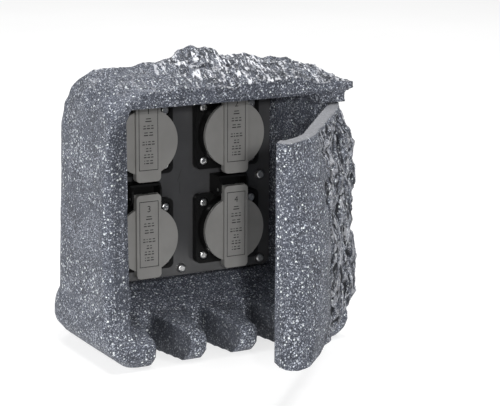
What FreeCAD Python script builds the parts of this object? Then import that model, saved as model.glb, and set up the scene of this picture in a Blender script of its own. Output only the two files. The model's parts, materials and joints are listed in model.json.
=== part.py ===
import FreeCAD, Part
import math
import os
from FreeCAD import Vector

# Garden rock power point: a hollow artificial stone with four covered sockets and a stone door.
# Millimetres, real size. X runs to the right, Y into the block, Z up; the feet stand on Z = 0
# and X = 0 is the middle of the four sockets.
os.makedirs("parts", exist_ok=True)

# Sockets
PITCH = 68.0            # centre to centre, both ways
SOCKET_Z = 107.0        # height of the middle of the four sockets
FLANGE = 50.0           # square flange of one socket
FLANGE_R = 4.0
FLANGE_T = 5.2
PAD_T = 0.8             # rubber pad between flange and panel
SCREW_OFF = 19.0        # flange screws from the socket's centre
WELL_R = 19.5
WELL_DEPTH = 17.5
COLLAR_R = WELL_R + 4.0
CAN_WALL = 2.0
CAN_FLOOR = 3.0
CAN_FIT = 0.1           # panel hole round the socket's can
INSERT_T = 11.0
INSERT_FIT = 0.05
CONTACT_OFF = 9.5       # half of the 19 mm between the two round contacts
SLEEVE_R = 2.9
SLEEVE_BORE_R = 2.45
EARTH_W = 7.0
EARTH_T = 0.8

# Lids
LID_R = COLLAR_R - 0.2
LID_FACE = 1.3          # front of the round part
LID_T = 2.7
LID_BACK = LID_FACE + LID_T
SEAL_T = 1.0
SEAL_GAP = 0.3          # shut lid's seal to the collar
COLLAR_FRONT = LID_BACK + SEAL_T + SEAL_GAP
BAR_W = 18.6            # raised bar down the middle of the lid
BAR_RISE = 2.3
BAR_FACE = LID_FACE - BAR_RISE
TAB_Z = -LID_R - 3.7    # lower end of the pull tab, from the socket's centre
AXIS_Y = LID_BACK + 1.0  # lid pin
AXIS_Z = COLLAR_R + 5.3
BAR_TOP_Z = AXIS_Z + 3.2
KNUCKLE_R = 3.0
PIN_R = 1.2
PIN_PLAY = 0.05
HOUSING_WALL = 1.6
HOUSING_PLAY = 0.6      # housing wall to the lid's bar
HOUSING_W = BAR_W + 2 * HOUSING_PLAY + 2 * HOUSING_WALL
HOUSING_TOP_Z = AXIS_Z + 9.7
HOUSING_LOW_Z = AXIS_Z - 4.8
EAR_FRONT = AXIS_Y - KNUCKLE_R
SPRING_R = 2.1
SPRING_HALF = 2.3

# Depth of the socket behind the lid
COLLAR_H = 6.7
FLANGE_FRONT = COLLAR_FRONT + COLLAR_H
FLANGE_BACK = FLANGE_FRONT + FLANGE_T
PANEL_FRONT = FLANGE_BACK + PAD_T
PANEL_T = 3.0
GASKET_T = 1.0
PANEL_BACK = PANEL_FRONT + PANEL_T
SHELF_Y = PANEL_BACK + GASKET_T
WELL_FLOOR = COLLAR_FRONT + WELL_DEPTH
CAN_BACK = WELL_FLOOR + INSERT_T + CAN_FLOOR + 3.2

# Cavity behind the panel
CAN_ROOM = 1.0          # round the sockets
CAVITY_HALF = PITCH / 2 + WELL_R + CAN_WALL + CAN_ROOM + 0.5
CAVITY_RISE = PITCH / 2 + WELL_R + CAN_WALL + CAN_ROOM
CAVITY_LOW = SOCKET_Z - CAVITY_RISE
CAVITY_TOP = SOCKET_Z + CAVITY_RISE
CAVITY_BACK = CAN_BACK + 10.0

# Screws: pan heads
SCREW_R = 1.5
HEAD_R = 3.0
HEAD_H = 2.2
HEAD_RIM = 1.3
PANEL_HEAD_R = 3.2
BORE_R = HEAD_R + 0.5   # counterbore in the flange
BORE_FLOOR = FLANGE_FRONT + 1.6

# Panel
PANEL_R = 6.0
PANEL_SCREW_X = CAVITY_HALF + 6.0
PANEL_SCREW_Z = CAVITY_RISE + 5.5
PANEL_HALF = PANEL_SCREW_X + 8.5
PANEL_LOW = SOCKET_Z - PANEL_SCREW_Z - 5.0
PANEL_TOP = SOCKET_Z + PANEL_SCREW_Z + 11.0
FIT = 0.5               # panel edge to the stone round it

# Stone block
RECESS_LEFT = 1.0 - PANEL_HALF
RECESS_RIGHT = PANEL_HALF + 4.5
LEFT = RECESS_LEFT - 13.5
RIGHT = RECESS_RIGHT + 18.0
TAPER = 0.024           # the side walls lean out towards the ground
TAPER_TOP = 145.0       # from this height down
WALL_LOW = 16.0         # the walls and the hinge's foot end inside the base band
REAR = CAVITY_BACK + 7.0
WALL_FRONT = -45.0      # door seat at the left wall
BLOCK_FRONT = WALL_FRONT + 7.0
LIP_FRONT = WALL_FRONT - 13.0
LIP_BACK = WALL_FRONT - 1.0
OUTSIDE = WALL_FRONT - 35.0  # well before every face, for cuts
CEILING = PANEL_TOP + FIT
LIP_LOW = CEILING - 5.5
CROWN_TOP = CEILING + 34.5
LIP_R = 5.0
LIP_OVERHANG = 1.2
LIP_STEP_X = 63.0
LIP_STEP = 2.2
FOOT_R = 8.0
REAR_R = 30.0
FRONT_R = 4.0
WALL_FOOT = 2.0
CHEEK_LOW = 24.0
CHEEK_TOP = LIP_LOW + 1.0
RAMP_BREAK_Y = -12.0    # where the slots begin and the floor flattens
RAMP_BREAK_Z = 26.0
TIP_Z = 20.5

# Height, swelling and reach before the door seat of the base band, from the ground up
BAND = [(0.0, -10.5, 3.8), (4.0, -5.5, 8.5), (8.0, -0.3, 12.0), (14.0, 4.0, 13.0), (18.5, 5.0, 12.3),
        (23.5, 5.0, 6.6), (27.3, 4.7, 1.7), (31.0, 4.1, 1.0), (38.0, 1.5, -1.0)]

# Cable slots between the feet
SLOT_X = (-44.8, -6.9, 31.8, 64.0)
SLOT_ROOT = 6.5         # half width at the inner end
SLOT_MOUTH = 11.6       # half width at the front
SLOT_FLARE = 1.5

# Door
OPEN_DEG = 46.0         # how far the door stands open
HINGE_X = RECESS_RIGHT + 6.3
HINGE_Y = WALL_FRONT - 2.3
DOOR_LOW = 27.8
DOOR_TOP = LIP_LOW - 7.8
BARREL_R = 5.4
LUG_R = 7.5             # foot under the hinge
HINGE_PIN_R = 2.5
HINGE_PLAY = 0.06
PIN_IN_DOOR = 11.0
PIN_IN_FOOT = 9.0
PIN_IN_LIP = 6.0
WASHER_T = 1.5
WASHER_R = 5.0
END_GAP = 0.3

# Cable gland and wiring
GLAND_Z = CAVITY_LOW + 15.5
GLAND_R = 8.0
THREAD_OUT = 12.0       # gland thread beyond the rear wall
THREAD_IN = 5.0
GLAND_BORE = 4.5
SEAL_WALL = 1.6
NUT_R = 11.0
WIRE_R = 0.9
WIRE_RISE = 12.0        # first wire run above the sockets' middle
WIRE_STEP = 3.0         # each next run, upwards
WIRE_BACK = 2.6         # first wire run behind the cans
WIRE_DEPTH = 2.3        # each next run, to the back
WIRE_SIDE = 7.0
POLE = 7.5              # between the poles of the terminal block
BLOCK_DEEP = 8.0
BLOCK_HALF_H = 7.0

CENTRES = {}
for row, dz in (("t", PITCH / 2), ("b", -PITCH / 2)):
    for col, dx in (("l", -PITCH / 2), ("r", PITCH / 2)):
        CENTRES[row + col] = (dx, SOCKET_Z + dz)


def save(shape, name):
    shape.exportStep("parts/" + name + ".step")
    print(name, len(shape.Solids), "solid(s)", round(shape.Volume))


def box(x0, x1, y0, y1, z0, z1):
    return Part.makeBox(x1 - x0, y1 - y0, z1 - z0, Vector(x0, y0, z0))


def rod_y(x, z, y0, y1, r):
    return Part.makeCylinder(r, y1 - y0, Vector(x, y0, z), Vector(0, 1, 0))


def rod_x(y, z, x0, x1, r):
    return Part.makeCylinder(r, x1 - x0, Vector(x0, y, z), Vector(1, 0, 0))


def rod_z(x, y, z0, z1, r):
    return Part.makeCylinder(r, z1 - z0, Vector(x, y, z0), Vector(0, 0, 1))


def prism(points, direction):
    wire = Part.makePolygon(points + [points[0]])
    return Part.Face(wire).extrude(direction)


def rounded_plate(x0, x1, z0, z1, y0, y1, r):
    plate = box(x0, x1, y0, y1, z0, z1)
    corners = []
    for edge in plate.Edges:
        a = edge.Vertexes[0].Point
        b = edge.Vertexes[1].Point
        if abs(a.x - b.x) < 1e-6 and abs(a.z - b.z) < 1e-6:
            corners.append(edge)
    return plate.makeFillet(r, corners)


def fuse_all(shapes):
    if len(shapes) == 1:
        return shapes[0]
    return shapes[0].multiFuse(shapes[1:]).removeSplitter()


def rough(i, j, seed):
    # a repeatable scatter between -1 and 1 for corner i, j of the broken rock
    value = math.sin(i * 12.9898 + j * 78.233 + seed * 37.719) * 43758.5453
    return 2.0 * (value - math.floor(value)) - 1.0


def mix(table, at):
    # straight-line reading of a list of (place, value) pairs
    if at <= table[0][0]:
        return table[0][1]
    for (a, va), (b, vb) in zip(table, table[1:]):
        if at <= b:
            return va + (vb - va) * (at - a) / (b - a)
    return table[-1][1]


# Height of the block over the recess's ceiling from left to right, at mid depth and at the lip
SKYLINE = [(-84, 10.5), (-70, 12), (-45, 12.5), (-33, 14.5), (-20, 16), (-9, 17.5), (18, 17.5),
           (40, 16), (55, 14), (73, 10), (93, 6)]
SKEW = 0.56             # the skyline runs back at a slant
FALL = 0.30             # and drops towards the rear
KNOB_X = 6.0            # boulder on the skyline
KNOB_Y = 6.0
KNOB_W = 17.0
KNOB_L = 24.0
KNOB_H = 8.0
LIP_LINE = [(-86, 5.5), (-60, 5.5), (0, 6), (22, 7), (51, 8), (79, 5.5), (93, 2.5)]


def crown_height(x, y):
    back = max(0.0, y - 5.0)
    middle = CEILING + mix(SKYLINE, x - SKEW * back)
    edge = CEILING + mix(LIP_LINE, x)
    if y < 5:
        blend = min(1.0, (5 - y) / (5 - LIP_FRONT)) ** 1.4
        height = middle + (edge - middle) * blend
    else:
        height = middle - FALL * back
    off = min(1.0, ((x - KNOB_X) / KNOB_W) ** 2 + ((y - KNOB_Y) / KNOB_L) ** 2)
    height += KNOB_H * (1 - off) ** 1.3
    # the left and rear edges roll over, most at the rear left corner
    for distance, reach in ((x - LEFT, 24.0 + 8.0 * max(0.0, y) / REAR), (REAR - y, 20.0)):
        if distance < reach:
            d = max(0.0, distance)
            height -= 0.95 * (reach - math.sqrt(reach * reach - (reach - d) ** 2))
    return height


def crown_field():
    # a closed block whose top is a sheet of flat facets: the broken rock of the crown
    nx = 27
    ny = 18
    x0 = LEFT - 8
    y0 = LIP_FRONT - 8
    dx = (RIGHT + 8 - x0) / nx
    dy = (REAR + 8 - y0) / ny
    low = -10.0
    top = {}
    for i in range(nx + 1):
        for j in range(ny + 1):
            x = x0 + i * dx
            y = y0 + j * dy
            if 0 < i < nx:
                x += 0.32 * dx * rough(i, j, 1)
            if 0 < j < ny:
                y += 0.32 * dy * rough(i, j, 2)
            z = crown_height(x, y) + 1.7 * rough(i, j, 3) + 1.2 * rough(i // 2, j // 2, 4)
            top[i, j] = Vector(x, y, max(z, LIP_LOW - 20))
    faces = []

    def tri(a, b, c):
        faces.append(Part.Face(Part.makePolygon([a, b, c, a])))

    for i in range(nx):
        for j in range(ny):
            a, b = top[i, j], top[i + 1, j]
            c, d = top[i + 1, j + 1], top[i, j + 1]
            if rough(i, j, 5) > 0:
                tri(a, b, c)
                tri(a, c, d)
            else:
                tri(a, b, d)
                tri(b, c, d)

    def skirt(line):
        ends = [Vector(line[-1].x, line[-1].y, low), Vector(line[0].x, line[0].y, low)]
        faces.append(Part.Face(Part.makePolygon(line + ends + [line[0]])))

    skirt([top[i, 0] for i in range(nx + 1)])
    skirt([top[i, ny] for i in range(nx + 1)])
    skirt([top[0, j] for j in range(ny + 1)])
    skirt([top[nx, j] for j in range(ny + 1)])
    corners = [top[0, 0], top[nx, 0], top[nx, ny], top[0, ny]]
    flat = [Vector(p.x, p.y, low) for p in corners]
    faces.append(Part.Face(Part.makePolygon(flat + [flat[0]])))
    shell = Part.makeShell(faces)
    solid = Part.makeSolid(shell)
    if solid.Volume < 0:
        solid.reverse()
    return solid


def lean(z):
    # how far the side walls stand out at a height
    return TAPER * (TAPER_TOP - z)


def right_side(grow):
    # the right wall, which grows and shrinks less than the others
    return RIGHT + grow * (0.5 if grow > 0 else 0.2)


def plan_wire(grow, z, front, front_r=FRONT_R, right_extra=0.0, rear=None):
    # plan of the block with rounded corners, grown outwards by a margin
    x0 = LEFT - grow
    x1 = right_side(grow) + right_extra
    y0 = front
    y1 = REAR + (grow if rear is None else rear)
    radii = [front_r, front_r, REAR_R * 0.6, REAR_R]
    corners = [(x0, y0, 1, 1), (x1, y0, -1, 1), (x1, y1, -1, -1), (x0, y1, 1, -1)]
    edges = []
    ends = []
    for (cx, cy, sx, sy), r in zip(corners, radii):
        mid = Vector(cx + sx * r, cy + sy * r, z)
        a = Vector(cx, cy + sy * r, z)
        b = Vector(cx + sx * r, cy, z)
        if sx * sy < 0:
            a, b = b, a
        h = r / math.sqrt(2)
        m = Vector(mid.x - sx * h, mid.y - sy * h, z)
        ends.append((a, m, b))
    for k in range(4):
        a, m, b = ends[k]
        edges.append(Part.Arc(a, m, b).toShape())
        edges.append(Part.makeLine(b, ends[(k + 1) % 4][0]))
    return Part.Wire(edges)


def base_band():
    # the foot of the block: drawn in at the ground, swollen up to the step above it, and
    # standing forward at both sides as the two outer feet
    wires = [plan_wire(grow, z, WALL_FRONT - out, FOOT_R) for z, grow, out in BAND]
    return Part.makeLoft(wires, True, True)


def lip_slab():
    # overhanging lip with a rounded front, stepped up near the door's hinge
    low = LIP_LOW
    levels = [(low, -1.0, LIP_FRONT + 1.2), (low + 2.0, 0.6, LIP_FRONT), (low + 8.0, 0.9, LIP_FRONT - 0.4),
              (CROWN_TOP, 0.6, LIP_FRONT)]
    wires = [plan_wire(grow, z, front, LIP_R, LIP_OVERHANG) for z, grow, front in levels]
    slab = Part.makeLoft(wires, True, True)
    step = box(LIP_STEP_X, RIGHT + 20, LIP_FRONT - 5, LIP_BACK - 4.5, low - 1, low + LIP_STEP)
    notch = [Vector(LIP_STEP_X - 0.9, LIP_FRONT - 3, low - 1), Vector(LIP_STEP_X + 0.9, LIP_FRONT - 3, low - 1),
             Vector(LIP_STEP_X, LIP_FRONT + 2.2, low - 1)]
    crack = prism(notch, Vector(1.5, 0, 14))
    return slab.cut(step).cut(crack)


def side_profile(x0, x1, points):
    face = [Vector(x0, y, z) for y, z in points]
    return prism(face, Vector(x1 - x0, 0, 0))


def cheek(left_of, left_line, right_of, right_line):
    # wall front between two side profiles; left_of and right_of give each edge's place at a height
    a = Part.makePolygon([Vector(left_of(z), y, z) for y, z in left_line + [left_line[0]]])
    b = Part.makePolygon([Vector(right_of(z), y, z) for y, z in right_line + [right_line[0]]])
    return Part.makeLoft([a, b], True, True)


def cheek_line(table):
    # a wall's front edge from a list of (height as a fraction, how far before the door seat)
    back = WALL_FRONT + 15.0
    line = [(back, CHEEK_LOW)]
    for f, out in table:
        line.append((WALL_FRONT - out, CHEEK_LOW + f * (CHEEK_TOP - CHEEK_LOW)))
    line.append((back, CHEEK_TOP))
    return line


def left_cheek():
    outer = cheek_line([(0, 1.6), (0.03, 1.6), (0.105, -1.5), (0.27, -6), (0.428, -9), (0.592, -7),
                        (0.816, -3), (0.946, 1.5), (1, 10)])
    edge = cheek_line([(0, 1.7), (0.026, 1.7), (0.105, 0), (0.27, -3), (0.428, -4.5), (0.592, -3.5),
                       (0.816, -1), (0.946, 1.5), (1, 10)])
    inner = cheek_line([(0, 1.7), (0.053, 1.7), (0.138, 0), (0.27, 0), (0.428, 0), (0.592, 0),
                        (0.829, 0), (0.946, 1.5), (1, 9)])
    first = cheek(lambda z: LEFT - 0.3 - lean(z), outer, lambda z: LEFT + 5, edge)
    return first.fuse(cheek(lambda z: LEFT + 5, edge, lambda z: RECESS_LEFT, inner))


def wall_foot():
    # the front edge of the recess's left wall thickens towards the floor
    x = RECESS_LEFT
    top = LIP_LOW - 70
    low = CHEEK_LOW + 8
    rings = []
    for y, out in ((WALL_FRONT, WALL_FOOT), (WALL_FRONT + 30, -1.0)):
        ring = [Vector(x - 3, y, top), Vector(x, y, top), Vector(x + out, y, low), Vector(x + out, y, 10),
                Vector(x - 3, y, 10)]
        rings.append(Part.makePolygon(ring + [ring[0]]))
    return Part.makeLoft(rings, True, True)


def right_pillar():
    table = [(-0.026, 9), (0.013, 9), (0.105, 6), (0.237, 5), (0.5, 4.5), (0.763, 5), (0.895, 7), (1, 11)]
    profile = cheek_line(table)
    inner = cheek_line([(f, out - 2.5) for f, out in table])
    return cheek(lambda z: HINGE_X + BARREL_R + 0.5, inner, lambda z: right_side(lean(z)) + 0.1, profile)


def floor_front():
    # the sloping floor of the recess with the feet's rounded noses
    nose = WALL_FRONT - 12.4
    inner = RAMP_BREAK_Y + 7.0
    points = [(WALL_FRONT + 1, 0), (nose + 4, 8), (nose, 12.5), (nose + 0.5, 17), (nose + 5, TIP_Z),
              (RAMP_BREAK_Y, RAMP_BREAK_Z), (inner, RAMP_BREAK_Z + 3), (inner, 0)]
    return side_profile(LEFT + 14, RIGHT - 8, points)


def slot_wire(xc, grow, z):
    root = SLOT_ROOT + grow
    mouth = SLOT_MOUTH + grow
    points = []
    for k in range(7):
        a = math.pi * k / 6
        points.append(Vector(xc + root * math.cos(a), RAMP_BREAK_Y - SLOT_ROOT + root * math.sin(a), z))
    near = WALL_FRONT - 5
    far = WALL_FRONT - 21
    points.append(Vector(xc - mouth, near, z))
    points.append(Vector(xc - mouth, far, z))
    points.append(Vector(xc + mouth + 4, far, z))
    points.append(Vector(xc + mouth, near, z))
    return Part.makePolygon(points + [points[0]])


def slot_cutter(xc):
    straight = Part.Face(slot_wire(xc, 0, -2)).extrude(Vector(0, 0, 19.0))
    flare = Part.makeLoft([slot_wire(xc, 0, 17.0), slot_wire(xc, SLOT_FLARE, 29.0)], True, True)
    return straight.fuse(flare)


def recess_cutter():
    out = OUTSIDE
    nose = WALL_FRONT - 13.5
    plan = [Vector(RECESS_LEFT, out, 5), Vector(RECESS_LEFT, WALL_FRONT, 5),
            Vector(-PANEL_HALF - FIT, PANEL_FRONT - 6, 5), Vector(-PANEL_HALF - FIT, SHELF_Y, 5),
            Vector(PANEL_HALF + FIT, SHELF_Y, 5), Vector(PANEL_HALF + FIT, PANEL_FRONT - 6, 5),
            Vector(RECESS_RIGHT, WALL_FRONT, 5), Vector(RECESS_RIGHT, out, 5)]
    across = prism(plan, Vector(0, 0, 200))
    side = [(LIP_BACK, LIP_LOW), (out, LIP_LOW), (out, 14), (nose, 14), (nose, 17), (nose + 5.5, TIP_Z),
            (RAMP_BREAK_Y, RAMP_BREAK_Z), (PANEL_FRONT - 3, PANEL_LOW - FIT), (SHELF_Y, PANEL_LOW - FIT),
            (SHELF_Y, CEILING), (LIP_BACK + 6, CEILING), (LIP_BACK, CEILING - 4)]
    return across.common(side_profile(LEFT - 6, RIGHT + 7, side))


def hinge_pocket():
    # room at the right wall for the rounded hinge end of the door
    wall = HINGE_X + BARREL_R + 0.5
    return box(RECESS_RIGHT - 4, wall, OUTSIDE, BLOCK_FRONT - 2, RAMP_BREAK_Z, LIP_LOW)


def stone_body():
    walls = [plan_wire(lean(z), z, BLOCK_FRONT, rear=0.0) for z in (WALL_LOW, TAPER_TOP, CROWN_TOP)]
    lower = Part.makeLoft(walls, True, True)
    body = lower.multiFuse([base_band(), lip_slab(), left_cheek(), right_pillar(), floor_front()])
    cuts = [recess_cutter(), hinge_pocket()]
    cuts.append(box(-CAVITY_HALF, CAVITY_HALF, SHELF_Y - 1, CAVITY_BACK, CAVITY_LOW, CAVITY_TOP))
    for xc in SLOT_X:
        cuts.append(slot_cutter(xc))
    for x, z in panel_screw_places():
        cuts.append(rod_y(x, z, SHELF_Y - 1, SHELF_Y + 9, SCREW_R))
    cuts.append(rod_y(0, GLAND_Z, CAVITY_BACK - 1, REAR + 8, GLAND_R))
    low_z = DOOR_LOW - END_GAP - WASHER_T
    cuts.append(rod_z(HINGE_X, HINGE_Y, low_z - PIN_IN_FOOT, low_z + 1, HINGE_PIN_R))
    cuts.append(rod_z(HINGE_X, HINGE_Y, DOOR_TOP, LIP_LOW + PIN_IN_LIP, HINGE_PIN_R))
    lug = rod_z(HINGE_X, HINGE_Y, WALL_LOW, low_z, LUG_R)
    lug = lug.fuse(box(HINGE_X - 2, RIGHT - 2, HINGE_Y - LUG_R + 0.1, BLOCK_FRONT, WALL_LOW, low_z))
    under = DOOR_TOP + END_GAP + 0.4
    ledge = box(RECESS_RIGHT - 6, RIGHT - 3, HINGE_Y - BARREL_R - 0.2, BLOCK_FRONT, under, LIP_LOW + 3)
    body = body.cut(fuse_simple(cuts[:2]))
    body = body.fuse(lug).fuse(ledge).fuse(wall_foot())
    for cutter in cuts[2:]:
        body = body.cut(cutter)
    return body.common(crown_field())


def fuse_simple(shapes):
    return shapes[0].multiFuse(shapes[1:])


def panel_screw_places():
    places = []
    for z in (SOCKET_Z - PANEL_SCREW_Z, SOCKET_Z + PANEL_SCREW_Z):
        for x in (-PANEL_SCREW_X, 0.0, PANEL_SCREW_X):
            places.append((x, z))
    places.append((-PANEL_SCREW_X, SOCKET_Z))
    places.append((PANEL_SCREW_X, SOCKET_Z))
    return places


# Outline of the door at seven heights (fractions of its height): distance from the hinge and
# thickness there, free end first
DOOR_OUTLINE = [
    (0.0, [(154, 0), (164, 6), (168, 12), (166.5, 19), (157, 23.5), (131, 23.8), (112, 22.5), (88, 21.3),
           (68, 20.3), (50, 19.3), (32, 18), (15, 14), (2, 5.6)]),
    (0.16, [(154, 0), (161, 7), (163, 14), (158, 21), (144, 25.5), (124, 26.5), (112, 26), (84, 25),
            (60, 26), (42, 27.5), (27, 26.5), (11, 14), (2, 5.6)]),
    (0.35, [(154, 0), (159.5, 7), (161, 14), (155.5, 21), (141.5, 25.5), (124, 26.5), (112, 25.8), (82, 24),
            (58, 24), (40, 23.5), (24, 20.5), (10, 11.5), (2, 5.6)]),
    (0.518, [(154, 0), (159, 7), (160, 14), (154, 21), (140, 25.5), (124, 26.5), (112, 25.5), (80, 23),
             (56, 23), (38, 23), (22, 19.5), (8.5, 11), (2, 5.6)]),
    (0.733, [(154, 0), (158, 6), (158.5, 12), (152, 18), (138, 22), (124, 23.5), (112, 22.5), (80, 20),
             (55, 21), (36, 22), (22, 20.5), (9, 12), (2, 5.6)]),
    (0.88, [(154, 0), (157.5, 5.5), (157.5, 10.6), (149, 15.2), (134.5, 19), (121, 19.8), (110, 19),
            (78, 16.3), (54, 16), (36, 18.5), (21, 18), (9, 11.5), (2, 5.6)]),
    (1.0, [(154, 0), (157, 5), (156.5, 9.5), (146, 12.8), (131, 16.5), (118, 16.8), (108, 16),
           (76, 13.3), (53, 11.7), (35, 10.5), (18, 9.2), (8, 7.4), (2, 5.6)]),
]
SMOOTH_PARTS = 6        # outline stretches from the free end that stay smooth
ROCK_STEPS = (4, 3, 3, 2, 2, 1)
DOOR_ROWS = (0, 0.027, 0.073, 0.138, 0.202, 0.267, 0.331, 0.396, 0.461, 0.525, 0.59, 0.654, 0.719, 0.783,
             0.848, 0.905, 0.956, 1)


def door_height(f):
    return DOOR_LOW + f * (DOOR_TOP - DOOR_LOW)


def door_outline(at):
    below = DOOR_OUTLINE[0]
    for above in DOOR_OUTLINE[1:]:
        if at <= above[0]:
            f = (at - below[0]) / (above[0] - below[0])
            return [(a[0] + (b[0] - a[0]) * f, a[1] + (b[1] - a[1]) * f)
                    for a, b in zip(below[1], above[1])]
        below = above
    return DOOR_OUTLINE[-1][1]


def door_point(s, t, z):
    return Vector(HINGE_X - s, HINGE_Y - t, z)


def door_row(j):
    z = door_height(DOOR_ROWS[j])
    ends = j in (0, len(DOOR_ROWS) - 1)
    corners = door_outline(DOOR_ROWS[j])
    row = [door_point(corners[0][0], 0, z)]
    for k in range(1, SMOOTH_PARTS + 1):
        row.append(door_point(corners[k][0], corners[k][1], z))
    column = 0
    for k in range(SMOOTH_PARTS, len(corners) - 1):
        a, b = corners[k], corners[k + 1]
        steps = ROCK_STEPS[k - SMOOTH_PARTS]
        for m in range(1, steps + 1):
            column += 1
            f = m / steps
            s = a[0] + (b[0] - a[0]) * f
            t = a[1] + (b[1] - a[1]) * f
            h = z
            if k < len(corners) - 3:
                if ends:
                    t += 0.8 * rough(column, j, 7)
                else:
                    t += 2.3 * rough(column, j, 7) + 1.6 * rough(column // 2, j // 2, 8)
                    s += 2.0 * rough(column, j, 9)
                    h += 2.4 * rough(column, j, 10)
            row.append(door_point(s, t, h))
    row.append(door_point(0, BARREL_R, z))
    row.append(door_point(0, 0, z))
    return row


def door_block():
    rows = [door_row(j) for j in range(len(DOOR_ROWS))]
    faces = []
    n = len(rows[0])

    def tri(a, b, c):
        faces.append(Part.Face(Part.makePolygon([a, b, c, a])))

    for j in range(len(rows) - 1):
        for k in range(n - 1):
            a, b = rows[j][k], rows[j][k + 1]
            c, d = rows[j + 1][k + 1], rows[j + 1][k]
            if rough(k, j, 11) > 0:
                tri(a, b, c)
                tri(a, c, d)
            else:
                tri(a, b, d)
                tri(b, c, d)
    faces.append(Part.Face(Part.makePolygon(rows[0] + [rows[0][0]])))
    faces.append(Part.Face(Part.makePolygon(rows[-1] + [rows[-1][0]])))
    back = [row[0] for row in rows] + [row[-1] for row in reversed(rows)]
    faces.append(Part.Face(Part.makePolygon(back + [back[0]])))
    solid = Part.makeSolid(Part.makeShell(faces))
    if solid.Volume < 0:
        solid.reverse()
    return solid


# Inside of the door in the same way; it opens at the back and at the top
DOOR_INSIDE = [
    (0.065, [(146, -1), (150, 8), (142, 14), (124, 14.5), (104, 12.5), (80, 12), (56, 11), (38, 9),
             (24, 5), (13, -1)]),
    (0.231, [(146, -1), (151, 9), (142, 16.5), (124, 17.5), (104, 15), (80, 14), (56, 14), (38, 13.5),
             (24, 9), (13, -1)]),
    (0.518, [(146, -1), (150, 9), (141, 16.5), (124, 17.5), (104, 14), (80, 12), (56, 12), (38, 11.5),
             (24, 7.5), (13, -1)]),
    (0.733, [(146, -1), (149, 6), (139, 12.5), (122, 14), (102, 11), (79, 8.5), (56, 8), (38, 7.5),
             (24, 4.5), (13, -1)]),
    (1.004, [(146, -1), (146, 3), (136, 6.7), (121, 8.6), (101, 7.0), (78, 5), (56, 3.2), (38, 1.8),
             (24, 0.8), (13, -1)]),
]


def door_hollow():
    wires = []
    for f, points in DOOR_INSIDE:
        ring = [door_point(s, t, door_height(f)) for s, t in points]
        wires.append(Part.makePolygon(ring + [ring[0]]))
    return Part.makeLoft(wires, True, True)


def door_shell():
    barrel = rod_z(HINGE_X, HINGE_Y, DOOR_LOW, DOOR_TOP, BARREL_R)
    door = door_block().fuse(barrel).cut(door_hollow())
    r = HINGE_PIN_R + HINGE_PLAY
    low = rod_z(HINGE_X, HINGE_Y, DOOR_LOW - 1, DOOR_LOW + PIN_IN_DOOR + END_GAP, r)
    high = rod_z(HINGE_X, HINGE_Y, DOOR_TOP - PIN_IN_DOOR - END_GAP, DOOR_TOP + 1, r)
    door = door.cut(low).cut(high)
    door.rotate(Vector(HINGE_X, HINGE_Y, 0), Vector(0, 0, 1), OPEN_DEG)
    return door


def door_hinge_pins():
    base = DOOR_LOW - END_GAP - WASHER_T
    low = rod_z(HINGE_X, HINGE_Y, base - PIN_IN_FOOT, DOOR_LOW + PIN_IN_DOOR, HINGE_PIN_R)
    high = rod_z(HINGE_X, HINGE_Y, DOOR_TOP - PIN_IN_DOOR, LIP_LOW + PIN_IN_LIP, HINGE_PIN_R)
    return Part.makeCompound([low, high])


def door_washer():
    base = DOOR_LOW - END_GAP - WASHER_T
    ring = rod_z(HINGE_X, HINGE_Y, base, base + WASHER_T, WASHER_R)
    return ring.cut(rod_z(HINGE_X, HINGE_Y, base - 1, base + 5, HINGE_PIN_R))


def flange_screw_places(cx, cz):
    return [(cx + sx * SCREW_OFF, cz + sz * SCREW_OFF) for sx in (-1, 1) for sz in (-1, 1)]


def panel():
    back = PANEL_BACK
    plate = rounded_plate(-PANEL_HALF, PANEL_HALF, PANEL_LOW, PANEL_TOP, PANEL_FRONT, back, PANEL_R)
    for cx, cz in CENTRES.values():
        plate = plate.cut(rod_y(cx, cz, PANEL_FRONT - 1, back + 1, WELL_R + CAN_WALL + CAN_FIT))
        for x, z in flange_screw_places(cx, cz):
            plate = plate.cut(rod_y(x, z, PANEL_FRONT - 1, back + 1, SCREW_R))
    for x, z in panel_screw_places():
        plate = plate.cut(rod_y(x, z, PANEL_FRONT - 1, back + 1, SCREW_R))
    return plate


def panel_gasket():
    y0 = PANEL_BACK
    pad = rounded_plate(-PANEL_HALF, PANEL_HALF, PANEL_LOW, PANEL_TOP, y0, SHELF_Y, PANEL_R)
    pad = pad.cut(box(-CAVITY_HALF, CAVITY_HALF, y0 - 1, SHELF_Y + 1, CAVITY_LOW, CAVITY_TOP))
    for x, z in panel_screw_places():
        pad = pad.cut(rod_y(x, z, y0 - 1, SHELF_Y + 1, SCREW_R))
    return pad


def pan_screw(x, z, under, head_r, tip):
    # low head in front of the face it clamps, plain shank behind
    head = rod_y(x, z, under - HEAD_RIM, under, head_r)
    start = Vector(x, under - HEAD_H, z)
    crown = Part.makeCone(head_r * 0.62, head_r, HEAD_H - HEAD_RIM, start, Vector(0, 1, 0))
    return head.fuse(crown).fuse(rod_y(x, z, under, tip, SCREW_R))


def panel_screws():
    return Part.makeCompound([pan_screw(x, z, PANEL_FRONT, PANEL_HEAD_R, SHELF_Y + 8)
                              for x, z in panel_screw_places()])


def flange_screws():
    screws = []
    for cx, cz in CENTRES.values():
        for x, z in flange_screw_places(cx, cz):
            screws.append(pan_screw(x, z, BORE_FLOOR, HEAD_R, PANEL_BACK + 4))
    return Part.makeCompound(screws)


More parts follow.
